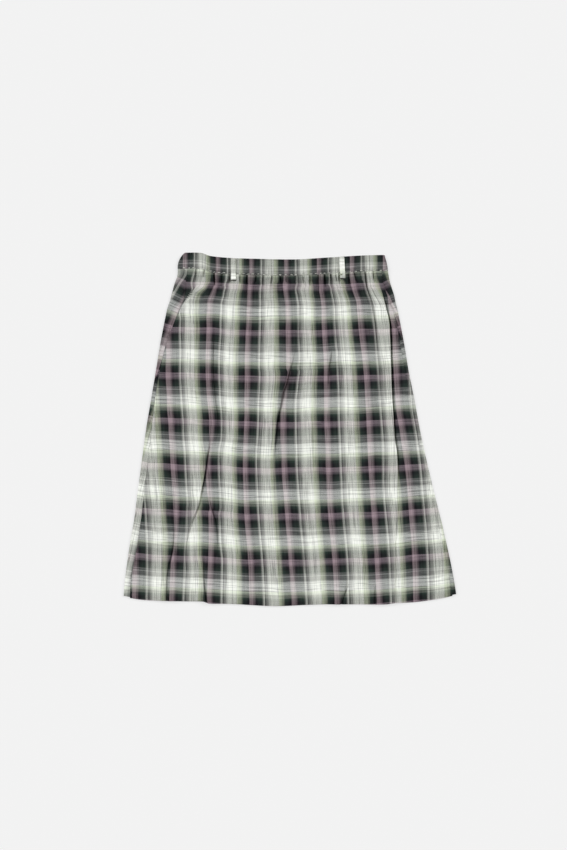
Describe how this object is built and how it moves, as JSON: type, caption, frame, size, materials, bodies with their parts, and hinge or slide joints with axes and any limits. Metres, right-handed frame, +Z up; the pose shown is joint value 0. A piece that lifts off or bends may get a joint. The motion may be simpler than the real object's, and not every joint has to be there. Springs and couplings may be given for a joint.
{
  "type": "midi skirt laid flat",
  "caption": "Checked A-line midi skirt laid flat, with a gathered elastic waistband, belt loops and side seams that show on the front.",
  "frame": {"origin": "on the ground, under the middle of the laid-out skirt's outline", "axes": "+Y towards the waistband, +X to the right as seen from above with the waistband at the top, +Z up out of the front"},
  "size_m": [0.6646, 0.7066, 0.0097],
  "materials": {
    "plaid_cloth": "soft matt yarn-dyed check, brushed",
    "loop_cloth": "plain pale woven strip, matt"
  },
  "bodies": {
    "root": {"front_panel": "plaid_cloth", "back_panel": "plaid_cloth", "waistband_front": "plaid_cloth", "waistband_back": "plaid_cloth", "belt_loop_left": "loop_cloth", "belt_loop_right": "loop_cloth"}
  },
  "joints": []
}
